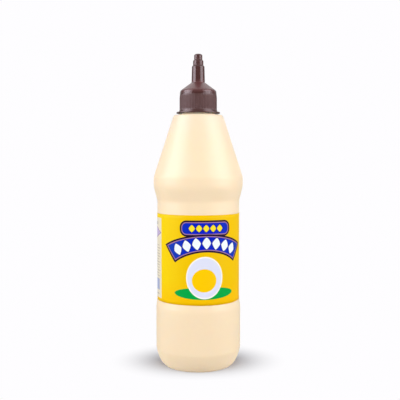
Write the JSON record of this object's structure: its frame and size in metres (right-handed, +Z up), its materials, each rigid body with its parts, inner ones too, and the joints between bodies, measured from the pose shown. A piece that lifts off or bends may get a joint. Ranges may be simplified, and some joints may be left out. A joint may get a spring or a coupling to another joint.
{
  "type": "mayonnaise squeeze bottle",
  "caption": "Tall filled squeeze bottle: round body with a recessed, wrap-round labelled panel, a conical shoulder and a ribbed screw cap that rises to a stepped closed nozzle.",
  "frame": {"origin": "centre of the standing ring, on the surface that the bottle stands on", "axes": "+Z up along the bottle's axis to the nozzle's tip, -Y out of the front of the label"},
  "size_m": [0.084, 0.084, 0.2935],
  "materials": {
    "bottle_plastic": "satin blow-moulded polyethylene with the cream of its contents showing through",
    "cap_plastic": "satin dark brown injection-moulded plastic",
    "label_film": "semi-gloss yellow printed film"
  },
  "bodies": {
    "root": {"bottle": "bottle_plastic", "cap": "cap_plastic", "label": "label_film"}
  },
  "joints": []
}
